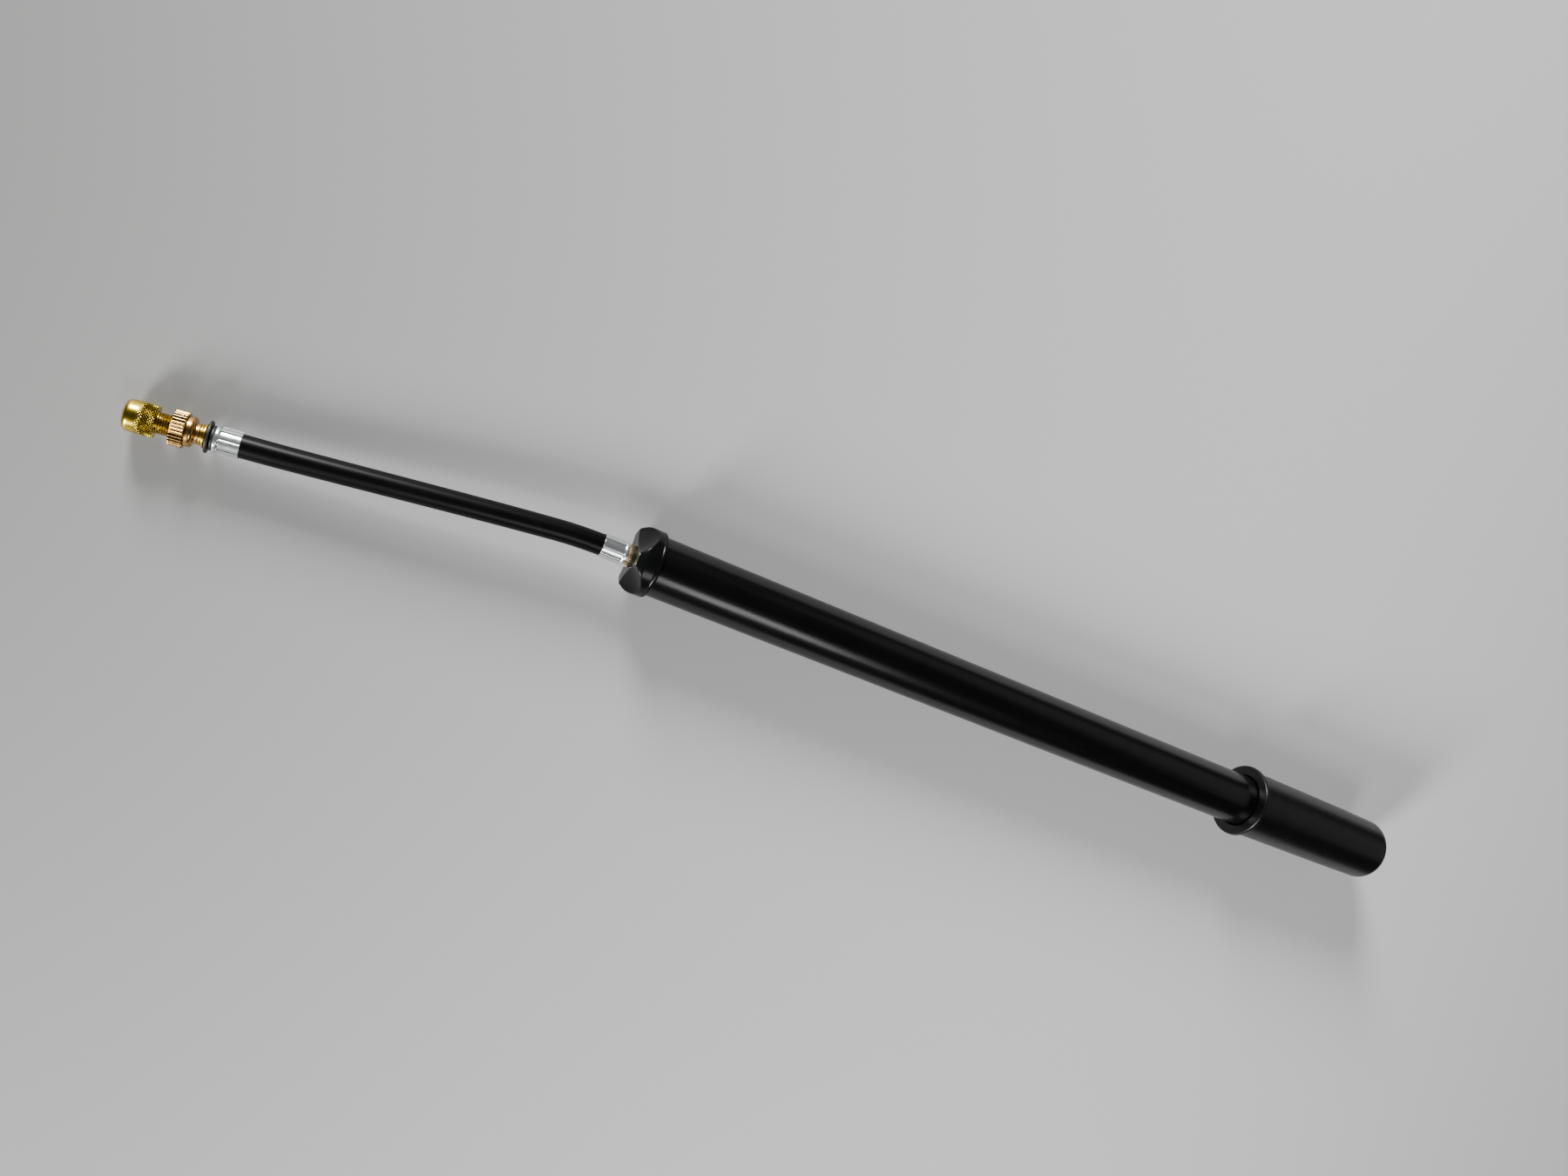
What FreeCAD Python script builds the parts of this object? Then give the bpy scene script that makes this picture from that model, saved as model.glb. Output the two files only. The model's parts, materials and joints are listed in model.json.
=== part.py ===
"""Hand pump for bicycle tyres: telescoping handle, barrel, dished end cap and a short hose.

Row frame, millimetres: +X runs along the barrel from the hose end to the handle, +Z is up, and
the origin is below the middle of the pump body, on the level of the handle flange's lowest point.
"""
import FreeCAD, Part

import math
import os
import re

import Sketcher

SIZES = {
    # barrel
    "barrel_radius": 12.0,
    "barrel_wall": 1.2,
    "exposed_barrel": 309.0,
    # end cap, with three dished finger facets round its front edge
    "cap_length": 9.6,
    "cap_wall": 1.4,
    "cap_bevel": 2.8,
    "cap_bevel_inset": 1.4,
    "cap_lip": 2.5,
    "spigot_length": 12.4,
    "dish_radius": 28.0,
    "dish_lean": 38.66,
    "dish_inset": 3.9,
    "dish_depth": 3.12,
    "dish_turn": 62.0,
    "gasket_thickness": 0.8,
    "port_radius": 3.3,
    "port_depth": 8.0,
    "passage_radius": 1.1,
    # guide bush in the open end of the barrel
    "guide_depth": 12.0,
    "guide_flange": 1.5,
    "guide_flange_inset": 0.2,
    "vent_radius": 1.25,
    # rod and piston
    "rod_radius": 4.0,
    "stud_radius": 2.5,
    "rod_tail_radius": 3.0,
    "running_clearance": 0.05,
    "end_clearance": 0.02,
    "home_gap": 1.5,
    "piston_nut_flats": 8.0,
    "piston_nut_height": 4.0,
    "lock_washer_width": 1.9,
    "lock_washer_height": 1.0,
    "spreader_height": 3.0,
    "skirt_gap": 0.4,
    "cup_floor": 2.0,
    "cup_skirt": 6.0,
    "cup_wall": 1.15,
    "backing_height": 2.0,
    "backing_gap": 0.5,
    "bumper_width": 4.0,
    "bumper_height": 6.0,
    # handle
    "handle_length": 88.0,
    "handle_gap": 0.4,
    "handle_floor": 8.9,
    "guide_gap": 0.3,
    "flange_wall": 4.6,
    "flange_thickness": 2.2,
    "flange_round": 0.9,
    "grip_wall": 3.1,
    "grip_waist_wall": 2.6,
    "grip_waist": 60.0,
    "grip_end_wall": 2.1,
    "grip_end_round": 5.0,
    "insert_wall": 3.0,
    "insert_length": 6.9,
    "insert_groove": 0.6,
    "insert_groove_width": 1.6,
    "buffer_gap": 0.8,
    "buffer_height": 2.0,
    # hose and the fittings at its pump end
    "hose_radius": 4.25,
    "hose_bore": 2.0,
    "barb_height": 0.2,
    "barb_pitch": 1.6,
    "port_washer_radius": 4.3,
    "port_washer_height": 0.7,
    "collar_radius": 4.65,
    "collar_length": 1.5,
    "ferrule_wall": 0.5,
    "ferrule_floor": 2.2,
    "ferrule_round": 0.35,
    "pump_ferrule_length": 10.2,
    # valve end of the hose
    "valve_ferrule_length": 8.6,
    "spacer_radius": 4.35,
    "spacer_height": 1.0,
    "disc_radius": 5.65,
    "disc_height": 1.6,
    "disc_round": 0.5,
    "valve_flange_radius": 4.3,
    "valve_flange_height": 1.8,
    "swivel_stem_radius": 2.4,
    "swivel_head_gap": 0.55,
    "swivel_head_height": 1.5,
    "swivel_play": 0.1,
    "nut_collar_radius": 3.6,
    "nut_collar_length": 1.5,
    "nut_shoulder_wall": 1.45,
    "nut_shoulder_length": 2.8,
    "nut_shoulder_round": 1.1,
    "nut_wall": 2.4,
    "nut_grip_length": 4.6,
    "nut_rear_wall": 3.0,
    "nut_thread_clearance": 0.05,
    "nut_seal_gap": 0.6,
    "nut_seal_height": 1.0,
    # thread adapter, a tyre valve thread of 32 turns to the inch on its outside
    "thread_radius": 3.85,
    "thread_shown": 4.8,
    "thread_engaged": 2.8,
    "thread_tip": 0.4,
    "adapter_rim": 1.65,
    "adapter_waist_rim": 1.35,
    "adapter_length": 9.9,
    "adapter_knurled": 4.9,
    "adapter_round": 1.0,
    "narrow_thread_radius": 2.6,
    "narrow_thread_depth": 7.0,
    "oring_seat_wall": 0.3,
    "oring_seat_depth": 1.6,
    "oring_gap": 0.05,
    "oring_bore": 1.25,
    "oring_height": 1.3,
    # straight knurls: depth of the grooves
    "knurl_depth": 0.3,
    "knurl_half_angle": 45.0,
}

CAP_FACETS = 3
VENTS = 3
BARBS = 3
COLLAR_GROOVES = 36
NUT_GROOVES = 36

# Hose centreline from its end in the pump ferrule: along -X, sideways along Y, and along Z.
HOSE_ROUTE = [
    (0.0, 0.0, 0.0),
    (15.0, 0.0, 0.0),
    (32.0, -1.75, -0.1),
    (60.0, -5.15, -0.55),
    (89.0, -8.9, -1.3),
    (114.0, -12.15, -2.2),
    (129.0, -14.0, -2.75),
    (142.0, -15.4, -3.25),
]
ARC_SHARE = 0.45

# A rounding takes at most this share of the step that it rounds.
ROUND_SHARE = 0.8
STATION_TOLERANCE = 1e-4

# Radii that follow from the ones they fit, and stations along the barrel axis, as expressions.
BARREL_BORE = "(barrel_radius - barrel_wall)"
CAP_RADIUS = "(barrel_radius + cap_wall)"
HANDLE_BORE = "(barrel_radius + handle_gap)"
FLANGE_RADIUS = f"({HANDLE_BORE} + flange_wall)"
INSERT_RADIUS = "(rod_tail_radius + insert_wall)"

CAP_FRONT = "-(cap_length + exposed_barrel + handle_length) / 2"
CAP_SEAT = f"({CAP_FRONT} + cap_length - cap_lip)"
RIM = f"({CAP_FRONT} + cap_length + exposed_barrel)"
BARREL_START = f"({CAP_SEAT} + gasket_thickness)"
HANDLE_FLOOR = f"({RIM} + handle_length - handle_floor)"
BARREL_END = f"({HANDLE_FLOOR} - buffer_height - guide_gap - guide_flange)"
STUD_TIP = f"({CAP_SEAT} + spigot_length + home_gap)"
PISTON_STACK = (
    "(piston_nut_height + lock_washer_height + spreader_height + cup_floor"
    " + backing_height + 2 * end_clearance)"
)

# Stations along the axis of the hose's far end, counted from the end of the hose.
SPACER = "ferrule_floor"
DISC = f"({SPACER} + spacer_height)"
VALVE_FLANGE = f"({DISC} + disc_height)"
NUT = f"({VALVE_FLANGE} + valve_flange_height + swivel_play)"
HEAD = f"({NUT} + nut_rear_wall + swivel_play)"
NUT_LENGTH = "(nut_collar_length + nut_shoulder_length + nut_grip_length)"
THREAD_TIP = f"({NUT} + {NUT_LENGTH} - thread_engaged)"
ADAPTER_LENGTH = "(thread_engaged + thread_shown + adapter_length)"

doc = FreeCAD.newDocument("HandPump")
sheet = doc.addObject("Spreadsheet::Sheet", "Sizes")
nodes = []


def fill_sheet():
    """Write every driving size into the sheet as a plain number with an alias."""
    for row, (alias, value) in enumerate(SIZES.items(), start=1):
        sheet.set(f"A{row}", alias)
        sheet.set(f"B{row}", str(value))
        sheet.setAlias(f"B{row}", alias)
    doc.recompute()


def bound(text):
    """Turn size names in an expression into references to the sheet's cells."""
    return re.sub(r"[a-z]+(?:_[a-z]+)+", r"Sizes.\g<0>", text)


def origin_item(body, role):
    """The plane or axis of a body's own origin that has this role."""
    return next(item for item in body.Origin.OriginFeatures if item.Role == role)


def new_body(name):
    """A body that becomes a sub-part of this name."""
    body = doc.addObject("PartDesign::Body", name)
    body.Label = name
    nodes.append(body)
    return body


def polygon(body, name, corners, plane="XY_Plane", offset=None):
    """A sketch of a closed polygon whose corners are pairs of expressions."""
    sketch = body.newObject("Sketcher::SketchObject", name)
    sketch.AttachmentSupport = (origin_item(body, plane), [""])
    sketch.MapMode = "FlatFace"
    if offset:
        sketch.setExpression("AttachmentOffset.Base.z", bound(offset))
    count = len(corners)
    turn = 2 * math.pi / count
    starts = [FreeCAD.Vector(math.cos(i * turn), math.sin(i * turn), 0) for i in range(count)]
    for i in range(count):
        sketch.addGeometry(Part.LineSegment(starts[i], starts[(i + 1) % count]))
    for i in range(count):
        sketch.addConstraint(Sketcher.Constraint("Coincident", i, 2, (i + 1) % count, 1))
    for i, (first, second) in enumerate(corners):
        for kind, text, start in (("DistanceX", first, starts[i].x), ("DistanceY", second, starts[i].y)):
            index = sketch.addConstraint(Sketcher.Constraint(kind, -1, 1, i, 1, start))
            sketch.setExpression(f"Constraints[{index}]", bound(text))
    return sketch


def turned(name, corners):
    """A body turned about its own X axis from a polygon of (along, radius) corners."""
    body = new_body(name)
    sketch = polygon(body, "Section", corners)
    turn = body.newObject("PartDesign::Revolution", "Turned")
    turn.Profile = sketch
    turn.ReferenceAxis = (sketch, ["H_Axis"])
    turn.Angle = 360
    doc.recompute()
    return body


def ring(name, bore, radius, height):
    """A plain washer: its back face is at its own origin."""
    return turned(name, [("0", bore), ("0", radius), (height, radius), (height, bore)])


def rim_edge(body, along):
    """Name of the widest circular edge at one station of a body that isn't placed yet."""
    widest = 0
    name = ""
    for i, edge in enumerate(body.Tip.Shape.Edges, start=1):
        curve = edge.Curve
        if not isinstance(curve, Part.Circle) or abs(curve.Center.x - along) > STATION_TOLERANCE:
            continue
        if curve.Radius > widest:
            widest = curve.Radius
            name = f"Edge{i}"
    return name


def rounded(body, name, radius, stations):
    """Fillet a body's outer rims at these stations."""
    base = body.Tip
    rims = [rim_edge(body, along) for along in stations]
    fillet = body.newObject("PartDesign::Fillet", name)
    fillet.Base = (base, rims)
    fillet.setExpression("Radius", bound(radius))
    body.Tip = fillet
    doc.recompute()


def around(body, feature, count):
    """Repeat a feature evenly round the body's X axis."""
    pattern = body.newObject("PartDesign::PolarPattern", f"{feature.Name}Around")
    pattern.Originals = [feature]
    pattern.Axis = (origin_item(body, "X_Axis"), [""])
    pattern.Angle = 360
    pattern.Occurrences = count
    body.Tip = pattern
    doc.recompute()


def cut_along(body, sketch, name, length):
    """Cut a sketch that lies square to X into the body, towards +X, and check that it removes metal."""
    before = body.Shape.Volume
    pocket = body.newObject("PartDesign::Pocket", name)
    pocket.Profile = sketch
    pocket.Reversed = True
    pocket.setExpression("Length", bound(length))
    doc.recompute()
    if body.Shape.Volume >= before:
        raise RuntimeError(f"{name} cuts nothing from {body.Label}")
    return pocket


def straight_knurl(body, radius, start, length, count):
    """Cut evenly spaced V grooves along a cylinder."""
    half_width = "(2 * knurl_depth * tan(knurl_half_angle))"
    corners = [
        (f"{radius} - knurl_depth", "0"),
        (f"{radius} + knurl_depth", half_width),
        (f"{radius} + knurl_depth", f"-{half_width}"),
    ]
    sketch = polygon(body, "KnurlSection", corners, "YZ_Plane", start)
    around(body, cut_along(body, sketch, "Knurl", length), count)


def circle(body, name, centre, radius):
    """A sketch of one circle that lies square to X, its centre and radius as expressions."""
    sketch = body.newObject("Sketcher::SketchObject", name)
    sketch.AttachmentSupport = (origin_item(body, "YZ_Plane"), [""])
    sketch.MapMode = "FlatFace"
    sketch.addGeometry(Part.Circle(FreeCAD.Vector(1, 0, 0), FreeCAD.Vector(0, 0, 1), 1))
    sketch.addConstraint(Sketcher.Constraint("PointOnObject", 0, 3, -1))
    place = sketch.addConstraint(Sketcher.Constraint("DistanceX", -1, 1, 0, 3, 1.0))
    width = sketch.addConstraint(Sketcher.Constraint("Radius", 0, 1.0))
    sketch.setExpression(f"Constraints[{place}]", bound(centre))
    sketch.setExpression(f"Constraints[{width}]", bound(radius))
    return sketch


def on_barrel(body, start):
    """Put a sub-part on the barrel axis with its own origin at a station."""
    body.setExpression("Placement.Base.x", bound(start))
    body.setExpression("Placement.Base.z", bound(FLANGE_RADIUS))


def on_port(body, distance):
    """Put a sub-part on the barrel axis so that it points away from the cap, along -X."""
    body.Placement = FreeCAD.Placement(
        FreeCAD.Vector(), FreeCAD.Rotation(FreeCAD.Vector(0, 0, 1), 180)
    )
    on_barrel(body, f"{CAP_FRONT} - ({distance})")


def size(name):
    """The value of one cell of the sheet."""
    return float(sheet.get(name))


def hose_points():
    """The hose route in the row frame."""
    start = -(size("cap_length") + size("exposed_barrel") + size("handle_length")) / 2
    start -= size("port_washer_height") + size("collar_length") + size("ferrule_floor")
    height = size("barrel_radius") + size("handle_gap") + size("flange_wall")
    return [FreeCAD.Vector(start - out, side, height + up) for out, side, up in HOSE_ROUTE]


def on_valve(body, distance, facing=1):
    """Put a sub-part on the axis of the hose's far end, this far beyond the end of the hose.

    Its own X axis points outwards, or back along the hose where facing is -1.
    """
    points = hose_points()
    along = (points[-1] - points[-2]).normalize()
    body.Placement = FreeCAD.Placement(
        FreeCAD.Vector(), FreeCAD.Rotation(FreeCAD.Vector(facing, 0, 0), along)
    )
    for axis in "xyz":
        end, share = getattr(points[-1], axis), getattr(along, axis)
        body.setExpression(f"Placement.Base.{axis}", bound(f"{end} + {share} * ({distance})"))


# ---- barrel and what is fixed to it

def make_barrel_tube():
    length = f"({BARREL_END} - {BARREL_START})"
    body = ring("barrel_tube", BARREL_BORE, "barrel_radius", length)
    on_barrel(body, BARREL_START)


def make_end_cap():
    """Cap with a lip round the barrel, a spigot inside it and a stepped port through its middle."""
    seat = "(cap_length - cap_lip)"
    end = f"({seat} + spigot_length)"
    corners = [
        ("0", "port_radius"),
        ("0", f"{CAP_RADIUS} - cap_bevel_inset"),
        ("cap_bevel", CAP_RADIUS),
        ("cap_length", CAP_RADIUS),
        ("cap_length", "barrel_radius"),
        (seat, "barrel_radius"),
        (seat, BARREL_BORE),
        (end, BARREL_BORE),
        (end, "passage_radius"),
        ("port_depth", "passage_radius"),
        ("port_depth", "port_radius"),
    ]
    body = turned("end_cap", corners)
    before = body.Shape.Volume
    dish = body.newObject("PartDesign::SubtractiveSphere", "Dish")
    dish.AttachmentSupport = (origin_item(body, "XY_Plane"), [""])
    dish.MapMode = "FlatFace"
    reach = f"({CAP_RADIUS} - dish_inset + dish_radius * sin(dish_lean))"
    dish.setExpression("Radius", bound("dish_radius"))
    dish.setExpression("AttachmentOffset.Base.x", bound("dish_depth - dish_radius * cos(dish_lean)"))
    dish.setExpression("AttachmentOffset.Base.y", bound(f"{reach} * sin(dish_turn)"))
    dish.setExpression("AttachmentOffset.Base.z", bound(f"{reach} * cos(dish_turn)"))
    doc.recompute()
    if body.Shape.Volume >= before:
        raise RuntimeError("the dish cuts nothing from the cap")
    around(body, dish, CAP_FACETS)
    on_barrel(body, CAP_FRONT)


def make_cap_gasket():
    body = ring("cap_gasket", BARREL_BORE, "barrel_radius", "gasket_thickness")
    on_barrel(body, CAP_SEAT)


def make_guide_bush():
    """Bush that the rod slides in, with holes that let air in behind the piston."""
    bore = "(rod_radius + running_clearance)"
    flange = "(barrel_radius - guide_flange_inset)"
    end = "(guide_depth + guide_flange)"
    corners = [
        ("0", bore),
        ("0", BARREL_BORE),
        ("guide_depth", BARREL_BORE),
        ("guide_depth", flange),
        (end, flange),
        (end, bore),
    ]
    body = turned("guide_bush", corners)
    vent = circle(body, "VentSection", f"(rod_radius + {BARREL_BORE}) / 2", "vent_radius")
    around(body, cut_along(body, vent, "Vent", end), VENTS)
    on_barrel(body, f"{BARREL_END} - guide_depth")


# ---- plunger

def make_piston_rod():
    """Rod with a stud for the piston at one end and a thinner tail in the handle's insert."""
    shoulder = f"({HANDLE_FLOOR} - {STUD_TIP})"
    end = f"({shoulder} + insert_length)"
    corners = [
        ("0", "0"),
        ("0", "stud_radius"),
        (PISTON_STACK, "stud_radius"),
        (PISTON_STACK, "rod_radius"),
        (shoulder, "rod_radius"),
        (shoulder, "rod_tail_radius"),
        (end, "rod_tail_radius"),
        (end, "0"),
    ]
    on_barrel(turned("piston_rod", corners), STUD_TIP)


def make_piston_nut():
    """Hexagon nut on the stud."""
    body = new_body("piston_nut")
    half = "(piston_nut_flats / 2)"
    corner = "(piston_nut_flats / 2 / cos(30))"
    corners = [
        (half, f"{corner} / 2"),
        ("0", corner),
        (f"-{half}", f"{corner} / 2"),
        (f"-{half}", f"-{corner} / 2"),
        ("0", f"-{corner}"),
        (half, f"-{corner} / 2"),
    ]
    pad = body.newObject("PartDesign::Pad", "Hexagon")
    pad.Profile = polygon(body, "Section", corners, "YZ_Plane")
    pad.setExpression("Length", bound("piston_nut_height"))
    doc.recompute()
    bore = circle(body, "BoreSection", "0", "stud_radius")
    cut_along(body, bore, "Bore", "piston_nut_height")
    on_barrel(body, STUD_TIP)


def make_lock_washer():
    radius = "(stud_radius + lock_washer_width)"
    body = ring("lock_washer", "stud_radius", radius, "lock_washer_height")
    on_barrel(body, f"{STUD_TIP} + piston_nut_height")


def make_cup_spreader():
    """Plate that keeps the cup's skirt spread against the barrel."""
    radius = f"({BARREL_BORE} - running_clearance - cup_wall - skirt_gap)"
    body = ring("cup_spreader", "stud_radius", radius, "spreader_height")
    on_barrel(body, f"{STUD_TIP} + piston_nut_height + lock_washer_height")


def make_cup_seal():
    """Cup washer: a floor clamped on the rod, and a skirt towards the cap that seals on the barrel."""
    bore = "(stud_radius + running_clearance)"
    outer = f"({BARREL_BORE} - running_clearance)"
    inner = f"({outer} - cup_wall)"
    end = "(cup_skirt + cup_floor)"
    corners = [
        ("0", inner),
        ("0", outer),
        (end, outer),
        (end, bore),
        ("cup_skirt", bore),
        ("cup_skirt", inner),
    ]
    start = "piston_nut_height + lock_washer_height + spreader_height + end_clearance - cup_skirt"
    on_barrel(turned("cup_seal", corners), f"{STUD_TIP} + {start}")


def make_backing_washer():
    radius = f"({BARREL_BORE} - backing_gap)"
    body = ring("backing_washer", "stud_radius", radius, "backing_height")
    on_barrel(body, f"{STUD_TIP} + {PISTON_STACK} - backing_height")


def make_rebound_bumper():
    radius = "(rod_radius + bumper_width)"
    body = ring("rebound_bumper", "rod_radius", radius, "bumper_height")
    on_barrel(body, f"{STUD_TIP} + {PISTON_STACK}")


def make_handle_grip():
    """Closed tube that slides over the barrel, with a hand flange at its rim."""
    floor = "(handle_length - handle_floor)"
    pocket = f"({floor} + insert_length)"
    corners = [
        ("0", HANDLE_BORE),
        ("0", FLANGE_RADIUS),
        ("flange_thickness", FLANGE_RADIUS),
        ("flange_thickness", f"{HANDLE_BORE} + grip_wall"),
        ("grip_waist", f"{HANDLE_BORE} + grip_waist_wall"),
        ("handle_length", f"{HANDLE_BORE} + grip_end_wall"),
        ("handle_length", "0"),
        (pocket, "0"),
        (pocket, INSERT_RADIUS),
        (floor, INSERT_RADIUS),
        (floor, HANDLE_BORE),
    ]
    body = turned("handle_grip", corners)
    rounded(body, "FlangeRound", "flange_round", [0, size("flange_thickness")])
    rounded(body, "EndRound", "grip_end_round", [size("handle_length")])
    on_barrel(body, RIM)


def make_handle_insert():
    """Metal insert moulded into the handle, which the rod's tail is screwed into."""
    depth = f"({INSERT_RADIUS} - insert_groove)"
    first = "((insert_length - insert_groove_width) / 2)"
    last = "((insert_length + insert_groove_width) / 2)"
    corners = [
        ("0", "rod_tail_radius"),
        ("0", INSERT_RADIUS),
        (first, INSERT_RADIUS),
        (first, depth),
        (last, depth),
        (last, INSERT_RADIUS),
        ("insert_length", INSERT_RADIUS),
        ("insert_length", "rod_tail_radius"),
    ]
    on_barrel(turned("handle_insert", corners), HANDLE_FLOOR)


def make_handle_buffer():
    body = ring("handle_buffer", "rod_radius", f"{HANDLE_BORE} - buffer_gap", "buffer_height")
    on_barrel(body, f"{HANDLE_FLOOR} - buffer_height")


# ---- hose and its pump end

def barbs(tip, pitch):
    """Corners of a nipple's barbs, from its root to its tip: each rises square and slopes down."""
    corners = []
    for i in range(BARBS, 0, -1):
        root = f"({tip} - {i} * {pitch})"
        corners.append((root, "hose_bore"))
        corners.append((root, "hose_bore + barb_height"))
    corners.append((tip, "hose_bore"))
    return corners


def make_port_washer():
    body = ring("port_washer", "port_radius", "port_washer_radius", "port_washer_height")
    on_port(body, "0")


def make_pump_fitting():
    """Brass fitting: a shank in the cap's port, a knurled collar and a nipple in the hose."""
    collar = "(port_depth + port_washer_height)"
    stem = f"({collar} + collar_length)"
    tip = f"({stem} + pump_ferrule_length)"
    corners = [
        ("0", "passage_radius"),
        ("0", "port_radius"),
        (collar, "port_radius"),
        (collar, "collar_radius"),
        (stem, "collar_radius"),
        (stem, "hose_bore"),
    ]
    corners += barbs(tip, "barb_pitch")
    corners.append((tip, "passage_radius"))
    body = turned("pump_fitting", corners)
    straight_knurl(body, "collar_radius", collar, "collar_length", COLLAR_GROOVES)
    on_port(body, "-port_depth")


def ferrule(name, length):
    """Crimped sleeve with a floor: the hose fills it from its open end."""
    radius = "(hose_radius + ferrule_wall)"
    corners = [
        ("0", "hose_bore"),
        ("0", radius),
        (length, radius),
        (length, "hose_radius"),
        ("ferrule_floor", "hose_radius"),
        ("ferrule_floor", "hose_bore"),
    ]
    body = turned(name, corners)
    rounded(body, "FloorRound", "ferrule_round", [0])
    return body


def make_pump_ferrule():
    body = ferrule("pump_ferrule", "pump_ferrule_length")
    on_port(body, "port_washer_height + collar_length")


def hose_path(points):
    """Straight runs joined by tangent arcs, as one wire, and the radii of the arcs."""
    edges = []
    radii = []
    last = points[0]
    for before, corner, after in zip(points, points[1:], points[2:]):
        back = before - corner
        ahead = after - corner
        trim = ARC_SHARE * min(back.Length, ahead.Length)
        back.normalize()
        ahead.normalize()
        half_turn = (math.pi - back.getAngle(ahead)) / 2
        radius = trim / math.tan(half_turn)
        inward = (back + ahead).normalize()
        middle = corner + inward * (radius / math.cos(half_turn) - radius)
        first = corner + back * trim
        final = corner + ahead * trim
        edges.append(Part.LineSegment(last, first).toShape())
        edges.append(Part.Arc(first, middle, final).toShape())
        radii.append(radius)
        last = final
    edges.append(Part.LineSegment(last, points[-1]).toShape())
    return Part.Wire(edges), radii


def swept(wire, radius):
    """A round bar along a wire."""
    start = wire.Edges[0]
    direction = start.tangentAt(start.FirstParameter)
    section = Part.Wire(Part.makeCircle(radius, start.valueAt(start.FirstParameter), direction))
    return wire.makePipeShell([section], True, False)


def make_hose():
    wire, radii = hose_path(hose_points())
    outer, bore = size("hose_radius"), size("hose_bore")
    shape = swept(wire, outer).cut(swept(wire, bore))
    hose = doc.addObject("Part::Feature", "hose")
    hose.Label = "hose"
    hose.Shape = shape
    hose.Placement = FreeCAD.Placement()
    nodes.append(hose)
    expected = math.pi * (outer ** 2 - bore ** 2) * wire.Length
    print("hose arc radii", [round(radius) for radius in radii])
    print(f"hose length {wire.Length:.2f}, volume over section times length {shape.Volume / expected:.5f}")


# ---- valve end of the hose

def make_valve_ferrule():
    """Same sleeve as at the pump end, its floor turned to the valve."""
    body = ferrule("valve_ferrule", "valve_ferrule_length")
    on_valve(body, "ferrule_floor", facing=-1)


def make_valve_spacer():
    body = ring("valve_spacer", "hose_bore", "spacer_radius", "spacer_height")
    on_valve(body, SPACER)


def make_backstop_disc():
    body = ring("backstop_disc", "hose_bore", "disc_radius", "disc_height")
    rounded(body, "RimRound", "disc_round", [0, size("disc_height")])
    on_valve(body, DISC)


def make_valve_fitting():
    """Brass fitting: a nipple in the hose, a flange, and the stem and head that the nut turns on."""
    grip = "(valve_ferrule_length - ferrule_floor)"
    flange = f"({grip} + {VALVE_FLANGE})"
    stem = f"({flange} + valve_flange_height)"
    head = f"({grip} + {HEAD})"
    end = f"({head} + swivel_head_height)"
    corners = [("0", "passage_radius")]
    corners += reversed(barbs("0", "-barb_pitch"))
    corners += [
        (flange, "hose_bore"),
        (flange, "valve_flange_radius"),
        (stem, "valve_flange_radius"),
        (stem, "swivel_stem_radius"),
        (head, "swivel_stem_radius"),
        (head, "thread_radius - swivel_head_gap"),
        (end, "thread_radius - swivel_head_gap"),
        (end, "passage_radius"),
    ]
    on_valve(turned("valve_fitting", corners), f"-{grip}")


def make_swivel_nut():
    """Knurled nut with a rear wall behind the fitting's head and a thread's bore in front of it."""
    shoulder = "nut_collar_length"
    knurl = "(nut_collar_length + nut_shoulder_length)"
    thread = "(thread_radius + nut_thread_clearance)"
    stem = "(swivel_stem_radius + running_clearance)"
    radius = "(thread_radius + nut_wall)"
    corners = [
        ("0", stem),
        ("0", "nut_collar_radius"),
        (shoulder, "nut_collar_radius"),
        (shoulder, "thread_radius + nut_shoulder_wall"),
        (knurl, "thread_radius + nut_shoulder_wall"),
        (knurl, radius),
        (NUT_LENGTH, radius),
        (NUT_LENGTH, thread),
        ("nut_rear_wall", thread),
        ("nut_rear_wall", stem),
    ]
    body = turned("swivel_nut", corners)
    step = "(thread_radius + nut_shoulder_wall - nut_collar_radius)"
    rounding = f"min(nut_shoulder_round; {ROUND_SHARE} * {step})"
    rounded(body, "ShoulderRound", rounding, [size("nut_collar_length")])
    straight_knurl(body, radius, knurl, "nut_grip_length", NUT_GROOVES)
    on_valve(body, NUT)


def make_nut_seal():
    radius = "(thread_radius - nut_seal_gap)"
    body = ring("nut_seal", "passage_radius", radius, "nut_seal_height")
    on_valve(body, f"{HEAD} + swivel_head_height + end_clearance")


def make_valve_adapter():
    """Adapter: outside thread towards the nut, head for the fingers, narrow thread inside its mouth."""
    head = "(thread_engaged + thread_shown)"
    knurled = f"({head} + adapter_knurled)"
    seat = f"({ADAPTER_LENGTH} - narrow_thread_depth)"
    bottom = f"({seat} - oring_seat_depth)"
    seat_radius = "(narrow_thread_radius + oring_seat_wall)"
    corners = [
        ("0", "passage_radius"),
        ("0", "thread_radius - thread_tip"),
        ("thread_tip", "thread_radius"),
        (head, "thread_radius"),
        (head, "thread_radius + adapter_rim"),
        (knurled, "thread_radius + adapter_rim"),
        (knurled, "thread_radius + adapter_waist_rim"),
        (ADAPTER_LENGTH, "thread_radius + adapter_waist_rim"),
        (ADAPTER_LENGTH, "narrow_thread_radius"),
        (seat, "narrow_thread_radius"),
        (seat, seat_radius),
        (bottom, seat_radius),
        (bottom, "passage_radius"),
    ]
    body = turned("valve_adapter", corners)
    length = size("thread_engaged") + size("thread_shown") + size("adapter_length")
    rounded(body, "EndRound", "adapter_round", [length])
    on_valve(body, THREAD_TIP)


def make_adapter_oring():
    """Seal in its seat below the adapter's narrow thread."""
    radius = "(narrow_thread_radius + oring_seat_wall - oring_gap)"
    body = ring("adapter_oring", "oring_bore", radius, "oring_height")
    bottom = f"{THREAD_TIP} + {ADAPTER_LENGTH} - narrow_thread_depth - oring_seat_depth"
    on_valve(body, f"{bottom} + end_clearance")


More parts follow.
